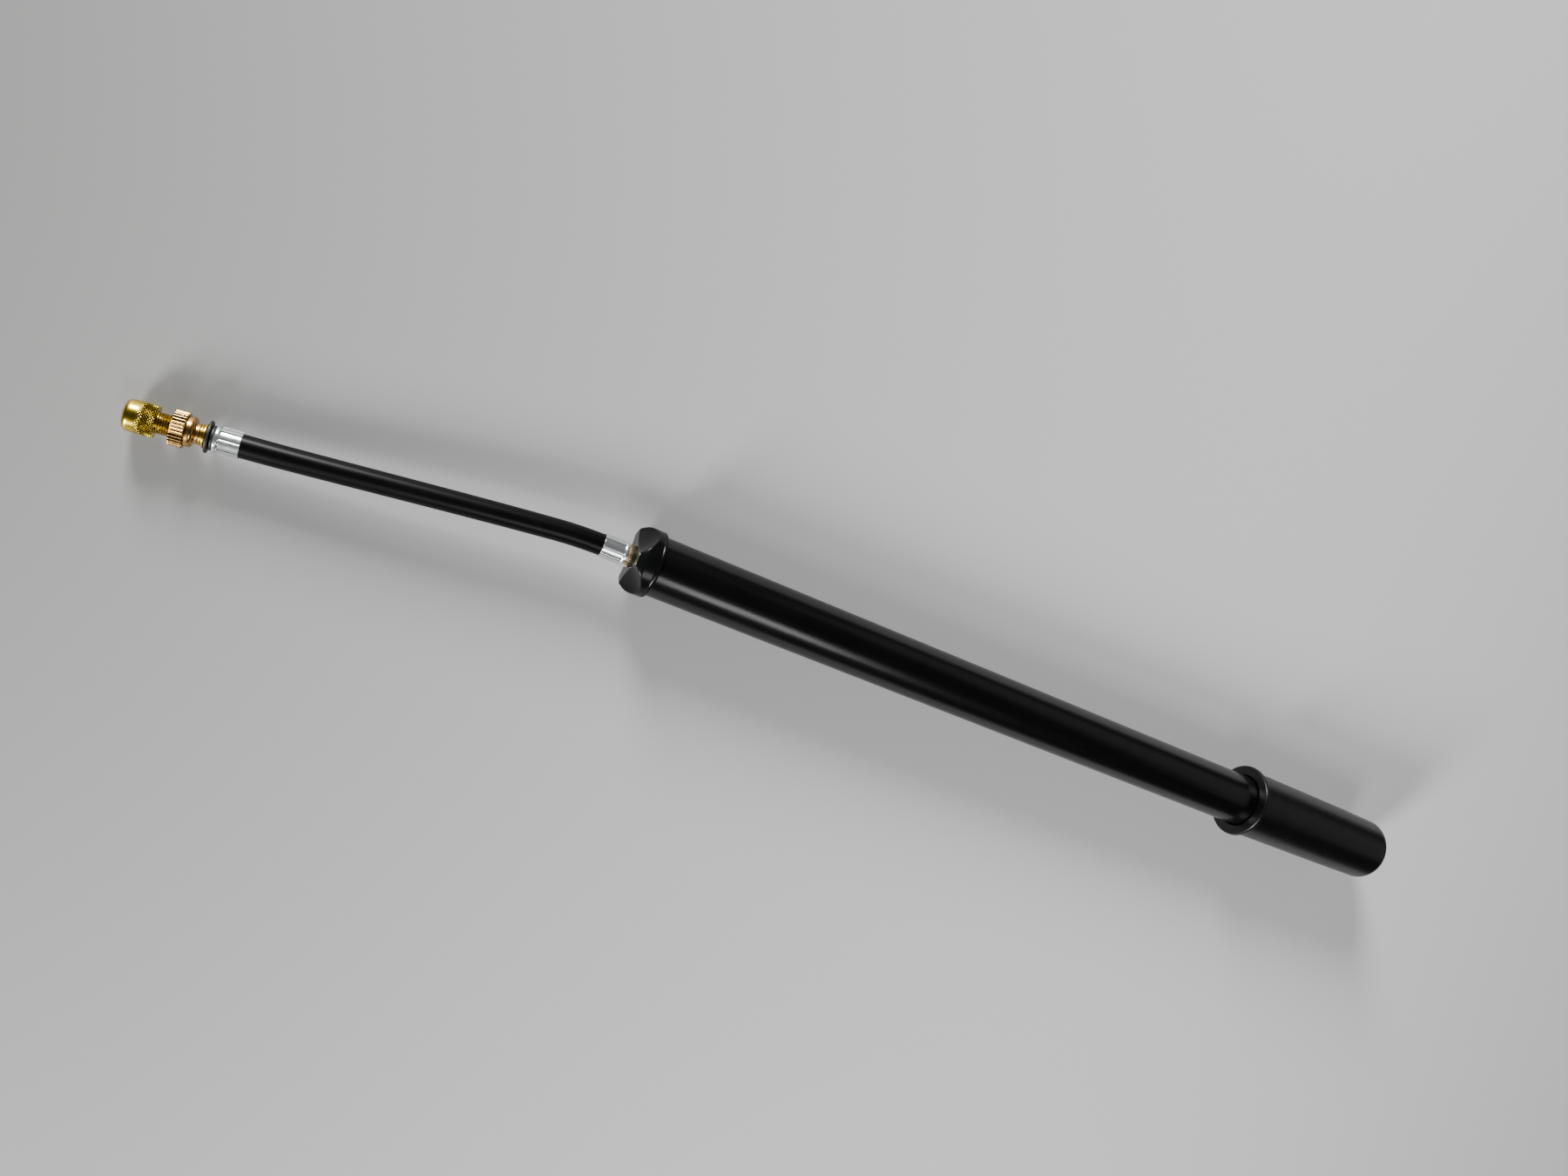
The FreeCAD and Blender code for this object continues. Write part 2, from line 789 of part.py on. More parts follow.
def check_document():
    """Stop if any object failed to recompute, or a sub-part's shape is missing or not valid."""
    doc.recompute()
    for item in doc.Objects:
        if "Invalid" in item.State or "Error" in item.State:
            raise RuntimeError(f"{item.Name} failed: {item.State}")
    for node in nodes:
        if node.Shape.isNull() or not node.Shape.isValid():
            raise RuntimeError(f"{node.Label} has no valid shape")


def export_nodes():
    """Write one STEP file for each sub-part."""
    os.makedirs("parts", exist_ok=True)
    for node in nodes:
        node.Shape.exportStep(f"parts/{node.Label}.step")
        box = node.Shape.BoundBox
        print(f"{node.Label:16s} volume {node.Shape.Volume:10.1f}  x {box.XMin:8.2f} {box.XMax:8.2f}")


fill_sheet()
make_barrel_tube()
make_end_cap()
make_cap_gasket()
make_guide_bush()
make_piston_rod()
make_piston_nut()
make_lock_washer()
make_cup_spreader()
make_cup_seal()
make_backing_washer()
make_rebound_bumper()
make_handle_grip()
make_handle_insert()
make_handle_buffer()
make_port_washer()
make_pump_fitting()
make_pump_ferrule()
make_hose()
make_valve_ferrule()
make_valve_spacer()
make_backstop_disc()
make_valve_fitting()
make_swivel_nut()
make_nut_seal()
make_valve_adapter()
make_adapter_oring()
check_document()
export_nodes()
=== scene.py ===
"""Studio scene of a bicycle hand pump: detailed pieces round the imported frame, in metres."""

import json
import math

import bmesh
import bpy
import numpy as np
from mathutils import Matrix, Vector


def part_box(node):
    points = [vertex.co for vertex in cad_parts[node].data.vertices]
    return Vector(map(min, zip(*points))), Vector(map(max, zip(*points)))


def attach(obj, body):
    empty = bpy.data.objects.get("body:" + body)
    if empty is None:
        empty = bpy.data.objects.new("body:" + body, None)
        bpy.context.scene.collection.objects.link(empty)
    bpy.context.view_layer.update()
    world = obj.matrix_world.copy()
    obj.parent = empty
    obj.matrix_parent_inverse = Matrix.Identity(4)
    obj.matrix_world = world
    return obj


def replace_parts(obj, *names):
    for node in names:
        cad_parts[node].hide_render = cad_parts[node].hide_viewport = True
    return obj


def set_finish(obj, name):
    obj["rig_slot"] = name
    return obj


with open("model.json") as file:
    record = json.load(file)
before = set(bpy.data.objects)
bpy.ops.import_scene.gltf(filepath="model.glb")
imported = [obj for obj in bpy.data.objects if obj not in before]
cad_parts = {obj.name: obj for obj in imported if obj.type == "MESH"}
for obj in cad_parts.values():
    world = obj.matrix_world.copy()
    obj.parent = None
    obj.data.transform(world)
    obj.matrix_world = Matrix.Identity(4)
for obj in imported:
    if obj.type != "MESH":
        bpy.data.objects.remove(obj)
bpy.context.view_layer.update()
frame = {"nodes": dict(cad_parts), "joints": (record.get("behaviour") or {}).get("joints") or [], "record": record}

MM = 0.001
TURN = 2 * math.pi

# ---- places in metres and sizes in millimetres that come from the frame

joints = {joint["name"]: joint for joint in frame["joints"]}
barrel_low, barrel_high = (Vector(corner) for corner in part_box("barrel_tube"))
cap_low, cap_high = (Vector(corner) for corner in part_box("end_cap"))
grip_low, grip_high = (Vector(corner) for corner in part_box("handle_grip"))
collar_low, collar_high = (Vector(corner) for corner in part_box("pump_fitting"))
ferrule_low, ferrule_high = (Vector(corner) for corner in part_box("pump_ferrule"))

AXIS_HEIGHT = (barrel_low.z + barrel_high.z) / 2
BARREL_RADIUS = (barrel_high.z - barrel_low.z) / 2 / MM
CAP_RADIUS = (cap_high.z - cap_low.z) / 2 / MM
FLANGE_RADIUS = (grip_high.z - grip_low.z) / 2 / MM
CAP_FRONT = cap_low.x
RIM = grip_low.x
HANDLE_LENGTH = (grip_high.x - grip_low.x) / MM
VALVE_AXIS = Vector(joints["nut_turn"]["axis"]).normalized()
NUT_START = Vector(joints["nut_turn"]["pos_m"])
THREAD_TIP = Vector(joints["adapter_screw"]["pos_m"])

# ---- hose: its diameter and its route, in metres

HOSE_DIAMETER = 0.0085
HOSE_ROUTE = [
    (-0.2077, 0.0, 0.017),
    (-0.2227, 0.0, 0.017),
    (-0.2397, -0.00175, 0.0169),
    (-0.2677, -0.00515, 0.01645),
    (-0.2967, -0.0089, 0.0157),
    (-0.3217, -0.01215, 0.0148),
    (-0.3367, -0.014, 0.01425),
    (-0.3497, -0.0154, 0.01375),
]
HOSE_END = Vector(HOSE_ROUTE[-1])

# ---- sizes that several pieces share, in millimetres

HOSE_RADIUS = HOSE_DIAMETER / 2 / MM
HOSE_BORE_RADIUS = 2.0
AIRWAY_RADIUS = 1.1
PORT_RADIUS = 3.3
BARREL_WALL = 1.2
FERRULE_FLOOR = 2.2


def along(direction, origin):
    """Matrix that lays a piece's own X axis along a direction from a point."""
    turn = Vector((1, 0, 0)).rotation_difference(direction)
    return Matrix.Translation(origin) @ turn.to_matrix().to_4x4()


def on_barrel(x, facing=1):
    """Place on the barrel's axis, its own X towards the handle or, facing -1, towards the hose."""
    return Matrix.Translation((x, 0, AXIS_HEIGHT)) @ Matrix.Rotation(0 if facing > 0 else math.pi, 4, "Z")


def on_valve(distance, facing=1):
    """Place on the axis of the hose's far end, millimetres beyond the hose."""
    return along(VALVE_AXIS * facing, HOSE_END + VALVE_AXIS * distance * MM)


# ---- mesh helpers

AXIS_MERGE = 1e-7
SHARP_ANGLE = math.radians(40)
POINTS_A_TOOTH = 10


def outline(corners, steps=5):
    """Stations (along, radius) of a section whose corners are (along, radius, rounding)."""
    points = []
    for i, (x, radius, rounding) in enumerate(corners):
        if not rounding:
            points.append((x, radius))
            continue
        corner = Vector((x, radius))
        back = (Vector(corners[i - 1][:2]) - corner).normalized()
        ahead = (Vector(corners[(i + 1) % len(corners)][:2]) - corner).normalized()
        half = back.angle(ahead) / 2
        centre = corner + (back + ahead).normalized() * rounding / math.sin(half)
        start = corner + back * rounding / math.tan(half) - centre
        sweep = math.copysign(math.pi - 2 * half, back.x * ahead.y - back.y * ahead.x)
        for step in range(steps + 1):
            points.append(tuple(centre + Matrix.Rotation(-sweep * step / steps, 2) @ start))
    return points


def spaced(points, gap):
    """The same section with its straight stretches divided so that no station is further than a gap."""
    dense = [points[0]]
    for (x0, r0), (x1, r1) in zip(points, points[1:]):
        count = max(1, math.ceil(math.hypot(x1 - x0, r1 - r0) / gap))
        for i in range(1, count + 1):
            dense.append((x0 + (x1 - x0) * i / count, r0 + (r1 - r0) * i / count))
    return dense


def finish_mesh(mesh, merge):
    """Join points that meet on the axis, turn faces outwards and mark sharp edges."""
    work = bmesh.new()
    work.from_mesh(mesh)
    if merge:
        bmesh.ops.remove_doubles(work, verts=work.verts, dist=merge)
    bmesh.ops.recalc_face_normals(work, faces=work.faces)
    work.to_mesh(mesh)
    work.free()
    mesh.shade_smooth()
    mesh.set_sharp_from_angle(angle=SHARP_ANGLE)
    mesh.update()


def grid_piece(name, points, place, body, slot, closed, merge=0.0):
    """A piece from a grid of points in millimetres: rings by the first index, closed round the second."""
    rings, segments = points.shape[:2]
    numbers = np.arange(rings * segments).reshape(rings, segments)
    rows = numbers if closed else numbers[:-1]
    following = np.roll(numbers, -1, axis=0)[: len(rows)]
    quads = np.stack(
        [rows, np.roll(rows, -1, axis=1), np.roll(following, -1, axis=1), following], axis=-1
    )
    mesh = bpy.data.meshes.new(name)
    mesh.from_pydata((points.reshape(-1, 3) * MM).tolist(), [], quads.reshape(-1, 4).tolist())
    piece = bpy.data.objects.new(name, mesh)
    bpy.context.collection.objects.link(piece)
    mesh.transform(place)
    finish_mesh(mesh, merge)
    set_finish(piece, slot)
    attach(piece, body)
    return piece


def turned(name, points, place, body, slot, segments=128, shape=None, closed=True):
    """A piece turned about its own X axis; shape(x, angle, radius) gives a radius that isn't round."""
    angles = np.arange(segments) * TURN / segments
    x, angle = np.meshgrid([p[0] for p in points], angles, indexing="ij")
    radius = np.repeat(np.array([[p[1]] for p in points]), segments, axis=1)
    if shape:
        radius = shape(x, angle, radius)
    grid = np.stack([x, radius * np.cos(angle), radius * np.sin(angle)], axis=-1)
    return grid_piece(name, grid, place, body, slot, closed, 0.0 if closed else AXIS_MERGE)


def wave(turns):
    """Triangle wave: 1 at whole numbers, 0 half way between."""
    return np.abs((turns % 1) - 0.5) * 2


def ease(value):
    """Smooth step from 0 to 1 over the range 0 to 1."""
    clear = np.clip(value, 0, 1)
    return clear * clear * (3 - 2 * clear)


def teeth(turns, crest):
    """Depth between teeth, from 0 on their crests to 1 half way between; crest is the flat share."""
    return np.clip((wave(turns) - crest) / (1 - crest), 0, 1)


# ---- camera

CAMERA_PLACE = (-0.3075, 0.0110, 0.4586)
CAMERA_AHEAD = (0.35335, 0, -0.93549)
CAMERA_UP = (-0.35553, 0.92497, -0.13429)
CAMERA_LENS = 27
SENSOR_WIDTH = 36


def make_camera():
    """The view looks down on the pump, with the barrel running from the middle to the lower right."""
    ahead = Vector(CAMERA_AHEAD).normalized()
    right = ahead.cross(Vector(CAMERA_UP)).normalized()
    up = right.cross(ahead)
    data = bpy.data.cameras.new("camera")
    data.lens = CAMERA_LENS
    data.sensor_width = SENSOR_WIDTH
    data.clip_start = 0.01
    data.clip_end = 20
    camera = bpy.data.objects.new("camera", data)
    bpy.context.collection.objects.link(camera)
    turn = Matrix((right, up, -ahead)).transposed().to_4x4()
    camera.matrix_world = Matrix.Translation(CAMERA_PLACE) @ turn
    bpy.context.scene.camera = camera


# ---- material helpers

# painted shade in grooves: the colour is darkened by the mesh's pointiness over this range, down to the darkest
# share
GROOVE_SHADE = (0.45, 0.50)
GROOVE_SHADE_DARKEST = 0.12


def new_material(name, colour, metallic, roughness):
    """A Principled material; the plain values can then be joined by procedural detail."""
    material = bpy.data.materials.new(name)
    material.use_nodes = True
    shader = material.node_tree.nodes["Principled BSDF"]
    shader.inputs["Base Color"].default_value = (*colour, 1)
    shader.inputs["Metallic"].default_value = metallic
    shader.inputs["Roughness"].default_value = roughness
    return material, shader


def noise(material, scale, stretch=(1, 1, 1)):
    """A noise texture over the piece's own coordinates, in repeats a metre."""
    nodes, links = material.node_tree.nodes, material.node_tree.links
    coordinates = nodes.new("ShaderNodeTexCoord")
    mapping = nodes.new("ShaderNodeMapping")
    mapping.inputs["Scale"].default_value = stretch
    texture = nodes.new("ShaderNodeTexNoise")
    texture.inputs["Scale"].default_value = scale
    texture.inputs["Detail"].default_value = 3.0
    links.new(coordinates.outputs["Object"], mapping.inputs["Vector"])
    links.new(mapping.outputs["Vector"], texture.inputs["Vector"])
    return texture.outputs["Fac"]


def between(material, factor, low, high, start=0.3, end=0.7, interpolation="LINEAR"):
    """Spread a factor over a range of values."""
    node = material.node_tree.nodes.new("ShaderNodeMapRange")
    node.interpolation_type = interpolation
    node.inputs["From Min"].default_value = start
    node.inputs["From Max"].default_value = end
    node.inputs["To Min"].default_value = low
    node.inputs["To Max"].default_value = high
    material.node_tree.links.new(factor, node.inputs["Value"])
    return node.outputs["Result"]


def colours(material, factor, first, second, start=0.35, end=0.65):
    """Blend two colours by a factor."""
    ramp = material.node_tree.nodes.new("ShaderNodeValToRGB")
    ramp.color_ramp.elements[0].position = start
    ramp.color_ramp.elements[0].color = (*first, 1)
    ramp.color_ramp.elements[1].position = end
    ramp.color_ramp.elements[1].color = (*second, 1)
    material.node_tree.links.new(factor, ramp.inputs["Fac"])
    return ramp.outputs["Color"]


def relief(material, shader, height, depth):
    """Bump from a height, its depth in metres."""
    node = material.node_tree.nodes.new("ShaderNodeBump")
    node.inputs["Strength"].default_value = 1.0
    node.inputs["Distance"].default_value = depth
    material.node_tree.links.new(height, node.inputs["Height"])
    material.node_tree.links.new(node.outputs["Normal"], shader.inputs["Normal"])


def with_groove_shade(material, colour):
    """A colour with shade painted into the grooves of a mesh: it falls off where the mesh is hollow."""
    nodes, links = material.node_tree.nodes, material.node_tree.links
    pointiness = nodes.new("ShaderNodeNewGeometry").outputs["Pointiness"]
    shade = between(material, pointiness, GROOVE_SHADE_DARKEST, 1, *GROOVE_SHADE)
    scale = nodes.new("ShaderNodeVectorMath")
    scale.operation = "SCALE"
    links.new(colour, scale.inputs[0])
    links.new(shade, scale.inputs["Scale"])
    return scale.outputs["Vector"]


def surface(
    name, first, second, rough, grain, depth,
    metallic=0, stretch=(1, 1, 1), patch=60, gloss=0.5, paint_groove_shade=False
):
    """A material with two close colours in patches, uneven roughness and a fine grain, and on request painted
    shade in its grooves.
    """
    material, shader = new_material(name, first, metallic, rough[0])
    shader.inputs["Specular IOR Level"].default_value = gloss
    links = material.node_tree.links
    colour = colours(material, noise(material, patch), first, second)
    links.new(with_groove_shade(material, colour) if paint_groove_shade else colour, shader.inputs["Base Color"])
    fine = noise(material, grain, stretch)
    links.new(between(material, fine, *rough), shader.inputs["Roughness"])
    relief(material, shader, fine, depth)
    return material


def paint(piece, material):
    """Give a piece one material."""
    piece.data.materials.clear()
    piece.data.materials.append(material)
    return piece


# ---- finishes: grain and patches in repeats a metre, the grain's depth in metres

LENGTHWISE = (0.02, 1, 1)
CROSSWISE = (1, 0.05, 0.05)

FINISHES = {
    "barrel_black": dict(
        first=(0.0010, 0.0010, 0.0011), second=(0.0014, 0.0014, 0.0015),
        rough=(0.22, 0.28), grain=2400, depth=1e-6, stretch=LENGTHWISE, gloss=0.35,
    ),
    "cap_plastic": dict(
        first=(0.0020, 0.0022, 0.0022), second=(0.0030, 0.0032, 0.0032),
        rough=(0.20, 0.26), grain=3500, depth=3e-6, gloss=0.15,
    ),
    "handle_plastic": dict(
        first=(0.0012, 0.0012, 0.0013), second=(0.0018, 0.0018, 0.0019),
        rough=(0.26, 0.34), grain=3000, depth=2e-6, gloss=0.38,
    ),
    "inner_plastic": dict(
        first=(0.055, 0.055, 0.057), second=(0.07, 0.07, 0.072),
        rough=(0.4, 0.5), grain=3000, depth=5e-6,
    ),
    "rubber_black": dict(
        first=(0.0015, 0.0015, 0.0015), second=(0.003, 0.003, 0.003),
        rough=(0.45, 0.6), grain=5000, depth=8e-6,
    ),
    "hose_rubber": dict(
        first=(0.0012, 0.0012, 0.0014), second=(0.002, 0.002, 0.0022),
        rough=(0.30, 0.38), grain=4000, depth=3e-6, gloss=0.12,
    ),
    "seal_rubber": dict(
        first=(0.026, 0.024, 0.022), second=(0.036, 0.034, 0.03),
        rough=(0.55, 0.7), grain=5000, depth=8e-6,
    ),
    "steel": dict(
        first=(0.50, 0.50, 0.51), second=(0.58, 0.58, 0.59), metallic=1,
        rough=(0.16, 0.30), grain=3000, depth=2e-6, stretch=CROSSWISE,
    ),
    "ferrule_metal": dict(
        first=(0.62, 0.64, 0.65), second=(0.70, 0.72, 0.73), metallic=0.9,
        rough=(0.18, 0.26), grain=2500, depth=3e-6, stretch=(0.2, 1, 1), patch=300,
    ),
    # the brass finishes carry painted shade: their colour is darkened in the grooves of knurls and threads
    "brass": dict(
        first=(0.52, 0.36, 0.035), second=(0.62, 0.45, 0.06), metallic=1,
        rough=(0.20, 0.28), grain=2500, depth=4e-6, stretch=CROSSWISE, patch=250, paint_groove_shade=True,
    ),
    "copper_brass": dict(
        first=(0.48, 0.27, 0.08), second=(0.58, 0.35, 0.12), metallic=1,
        rough=(0.20, 0.30), grain=2500, depth=4e-6, stretch=CROSSWISE, patch=250, paint_groove_shade=True,
    ),
    "aged_brass": dict(
        first=(0.42, 0.32, 0.17), second=(0.60, 0.47, 0.26), metallic=1,
        rough=(0.28, 0.42), grain=3000, depth=6e-6, patch=400, paint_groove_shade=True,
    ),
}


# ---- hose and what is on it

def make_hose():
    """Round rubber hose along the route; its points carry the radius in metres."""
    curve = bpy.data.curves.new("rubber_hose", "CURVE")
    curve.dimensions = "3D"
    curve.bevel_depth = 1.0
    curve.bevel_resolution = 12
    curve.resolution_u = 24
    curve.use_fill_caps = True
    spline = curve.splines.new("NURBS")
    spline.points.add(len(HOSE_ROUTE) - 1)
    for point, place in zip(spline.points, HOSE_ROUTE):
        point.co = (*place, 1)
        point.radius = HOSE_DIAMETER / 2
    spline.order_u = 3
    spline.use_endpoint_u = True
    hose = bpy.data.objects.new("rubber_hose", curve)
    bpy.context.collection.objects.link(hose)
    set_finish(hose, "hose_rubber")
    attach(hose, "barrel")
    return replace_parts(hose, "hose")


FERRULE_RADIUS = 4.75
FERRULE_TAPER = 0.02
VALVE_FERRULE_LENGTH = 8.6
CRIMPS = 8
POINTS_A_CRIMP = 24
CRIMP_DEPTH = 0.3
CRIMP_RIB_SHARE = 0.2
CRIMP_START = 1.3
CRIMP_RUN = 0.5


def crimped(x, angle, radius):
    """Radius of a crimped ferrule: a round shoulder at its floor, then flats between raised ribs."""
    squeeze = ease((x - CRIMP_START) / CRIMP_RUN)
    rib = ease(1 - (1 - wave(angle * CRIMPS / TURN)) / CRIMP_RIB_SHARE)
    outside = radius > (FERRULE_RADIUS + HOSE_RADIUS) / 2
    return np.where(outside, radius - squeeze * (1 - rib) * CRIMP_DEPTH, radius)


def make_ferrule(name, node, length, place):
    """Crimped sleeve: a closed floor with a round shoulder, and an open mouth round the hose."""
    corners = [
        (0.0, HOSE_BORE_RADIUS, 0),
        (0.0, FERRULE_RADIUS, 0.55),
        (length, FERRULE_RADIUS - FERRULE_TAPER, 0.10),
        (length, HOSE_RADIUS, 0),
        (FERRULE_FLOOR, HOSE_RADIUS, 0),
        (FERRULE_FLOOR, HOSE_BORE_RADIUS, 0),
    ]
    points = spaced(outline(corners), gap=0.18)
    segments = CRIMPS * POINTS_A_CRIMP
    sleeve = turned(name, points, place, "barrel", "ferrule_metal", segments, crimped)
    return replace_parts(sleeve, node)


def make_pump_ferrule():
    """The ferrule at the pump's end of the hose, its mouth towards the hose."""
    length = (ferrule_high.x - ferrule_low.x) / MM
    return make_ferrule("crimped_ferrule", "pump_ferrule", length, on_barrel(ferrule_high.x, -1))


def make_valve_ferrule():
    """The same ferrule, a little shorter, at the valve's end."""
    place = on_valve(FERRULE_FLOOR, -1)
    return make_ferrule("crimped_valve_ferrule", "valve_ferrule", VALVE_FERRULE_LENGTH, place)


COLLAR_RADIUS = 4.65
COLLAR_LENGTH = 1.5
COLLAR_TEETH = 36
COLLAR_TOOTH_DEPTH = 0.36
COLLAR_CREST = 0.3
COLLAR_TWIST = 0.1


def make_collar():
    """Knurled brass collar of the hose's fitting, with its shank in the cap's port and its nipple."""
    foot = (collar_high.x - ferrule_high.x) / MM
    shoulder = foot - COLLAR_LENGTH
    tip = (collar_high.x - collar_low.x) / MM
    corners = [
        (0.0, AIRWAY_RADIUS, 0),
        (0.0, PORT_RADIUS, 0.2),
        (shoulder, PORT_RADIUS, 0),
        (shoulder, COLLAR_RADIUS, 0.22),
        (foot, COLLAR_RADIUS, 0.22),
        (foot, HOSE_BORE_RADIUS, 0),
        (tip, HOSE_BORE_RADIUS, 0.1),
        (tip, AIRWAY_RADIUS, 0),
    ]

    def knurl(x, angle, radius):
        """Slightly slanting teeth on the collar's outside."""
        cut = teeth(angle * COLLAR_TEETH / TURN + (x - shoulder) * COLLAR_TWIST, COLLAR_CREST)
        outside = radius > (PORT_RADIUS + COLLAR_RADIUS) / 2
        return radius - COLLAR_TOOTH_DEPTH * cut * outside

    points = spaced(outline(corners), gap=0.15)
    place = on_barrel(collar_high.x, -1)
    segments = COLLAR_TEETH * POINTS_A_TOOTH
    collar = turned("hose_collar", points, place, "barrel", "aged_brass", segments, knurl)
    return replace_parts(collar, "pump_fitting")


# ---- barrel

def make_barrel():
    """Drawn tube with softly broken ends."""
    length = (barrel_high.x - barrel_low.x) / MM
    corners = [
        (0.0, BARREL_RADIUS, 0.2),
        (length, BARREL_RADIUS, 0.3),
        (length, BARREL_RADIUS - BARREL_WALL, 0.2),
        (0.0, BARREL_RADIUS - BARREL_WALL, 0.2),
    ]
    place = on_barrel(barrel_low.x)
    tube = turned("barrel_skin", outline(corners), place, "barrel", "barrel_black", segments=256)
    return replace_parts(tube, "barrel_tube")


# ---- end cap: a bevelled drum with dishes in its front edge and a fine line round its rear

CAP_LENGTH = 9.6
CAP_BEVEL = 2.8
CAP_FACE = CAP_RADIUS - 1.4
CAP_LIP = 2.5
CAP_SEGMENTS = 480
EDGE_SOFTNESS = 0.5
REAR_SOFTNESS = 1.0
LINE_DEPTH = 0.22
LINE_PLACE = CAP_LENGTH - 1.7
LINE_HALF_WIDTH = 0.45

# each dish is part of a sphere through a point of the cap's section, where its surface leans
DISHES = 3
DISH_FIRST = 62
DISH_RADIUS = 28.0
DISH_LEAN = math.radians(38.66)
DISH_POINT = (3.12, CAP_RADIUS - 3.9)
DISH_SOFTNESS = 0.3
SPHERE_ALONG = DISH_POINT[0] - DISH_RADIUS * math.cos(DISH_LEAN)
SPHERE_RADIUS = DISH_POINT[1] + DISH_RADIUS * math.sin(DISH_LEAN)

PORT_FLOOR = 8.0
PORT_EDGE = 0.4
PORT_CLEARANCE = 0.05
RAY_START = 5.0
RAY_REACH = 1.05
RAY_HALVINGS = 30


def rounded_most(first, second, softness):
    """The larger of two distances, with the edge between them rounded."""
    overlap = np.clip(softness - np.abs(first - second), 0, None) / softness
    return np.maximum(first, second) + overlap * overlap * softness / 4


def cap_distance(points):
    """Roughly the distance outside the cap's skin: a bevelled drum, less the dishes' spheres."""
    x, y, z = points[..., 0], points[..., 1], points[..., 2]
    radius = np.hypot(y, z)
    lean = math.atan2(CAP_RADIUS - CAP_FACE, CAP_BEVEL)
    bevel = (radius - CAP_FACE) * math.cos(lean) - x * math.sin(lean)
    line = LINE_DEPTH * ease(1 - np.abs(x - LINE_PLACE) / LINE_HALF_WIDTH)
    skin = rounded_most(radius - CAP_RADIUS + line, -x, EDGE_SOFTNESS)
    skin = rounded_most(skin, bevel, EDGE_SOFTNESS)
    skin = rounded_most(skin, x - CAP_LENGTH, REAR_SOFTNESS)
    for i in range(DISHES):
        turn = math.radians(DISH_FIRST + 360 / DISHES * i)
        middle = (SPHERE_ALONG, SPHERE_RADIUS * math.sin(turn), SPHERE_RADIUS * math.cos(turn))
        away = np.sqrt((x - middle[0]) ** 2 + (y - middle[1]) ** 2 + (z - middle[2]) ** 2)
        skin = rounded_most(skin, DISH_RADIUS - away, DISH_SOFTNESS)
    return skin


def cap_rings(stations):
    """Rings of points round the cap's axis, one for each station (along, radius)."""
    angles = np.arange(CAP_SEGMENTS) * TURN / CAP_SEGMENTS
    x, angle = np.meshgrid([s[0] for s in stations], angles, indexing="ij")
    radius = np.array([[s[1]] for s in stations])
    return np.stack([x, radius * np.sin(angle), radius * np.cos(angle)], axis=-1)


def cap_skin():
    """The cap's outside: rays from a point on the axis find the skin, so that every edge is soft."""
    section = [
        (0, PORT_RADIUS + PORT_CLEARANCE),
        (0, CAP_FACE),
        (CAP_BEVEL, CAP_RADIUS),
        (CAP_LENGTH, CAP_RADIUS),
        (CAP_LENGTH, BARREL_RADIUS),
    ]
    eye = np.array([RAY_START, 0.0, 0.0])
    rays = cap_rings(spaced(section, gap=0.16)) - eye
    near = np.zeros(rays.shape[:2])
    far = np.full(rays.shape[:2], RAY_REACH)
    for _ in range(RAY_HALVINGS):
        middle = (near + far) / 2
        outside = cap_distance(eye + rays * middle[..., None]) > 0
        far = np.where(outside, middle, far)
        near = np.where(outside, near, middle)
    return eye + rays * near[..., None]


def make_cap():
    """Moulded cap: its soft skin outside, and inside it the barrel's seat, a spigot and the port."""
    length = (cap_high.x - cap_low.x) / MM
    seat = CAP_LENGTH - CAP_LIP
    spigot = BARREL_RADIUS - BARREL_WALL
    inside = [
        (CAP_LENGTH - 0.3, BARREL_RADIUS),
        (seat, BARREL_RADIUS),
        (seat, spigot),
        (length, spigot),
        (length, AIRWAY_RADIUS),
        (PORT_FLOOR, AIRWAY_RADIUS),
        (PORT_FLOOR, PORT_RADIUS),
        (PORT_EDGE, PORT_RADIUS),
    ]
    grid = np.concatenate([cap_skin(), cap_rings(inside)])
    cap = grid_piece("dished_cap", grid, on_barrel(CAP_FRONT), "barrel", "cap_plastic", True)
    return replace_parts(cap, "end_cap")


# ---- handle: a sleeve that slides over the barrel

SLEEVE_BORE = BARREL_RADIUS + 0.4
FLANGE_THICKNESS = 2.2
WALL_AT_FLANGE = 3.1
WALL_AT_GRIP = 2.6
WALL_AT_END = 2.1
GRIP_STATION = 60.0
SLEEVE_FLOOR = HANDLE_LENGTH - 8.9
POCKET_DEPTH = 6.9
POCKET_RADIUS = 6.0
FLUTES = 80
POINTS_A_FLUTE = 6
FLUTE_DEPTH = 0.045
FLUTE_START = 3.0
FLUTE_RISE = 3.0
FLUTE_END = 44.0
FLUTE_FADE = 26.0


def fluted(x, angle, radius):
    """Radius of the sleeve: its outside has fine flutes that run out along the grip."""
    outside = (radius > SLEEVE_BORE + 1.5) & (radius < SLEEVE_BORE + WALL_AT_FLANGE + 0.01)
    fade = ease((x - FLUTE_START) / FLUTE_RISE) * ease((FLUTE_END - x) / FLUTE_FADE)
    return radius - FLUTE_DEPTH * fade * wave(angle * FLUTES / TURN) * outside


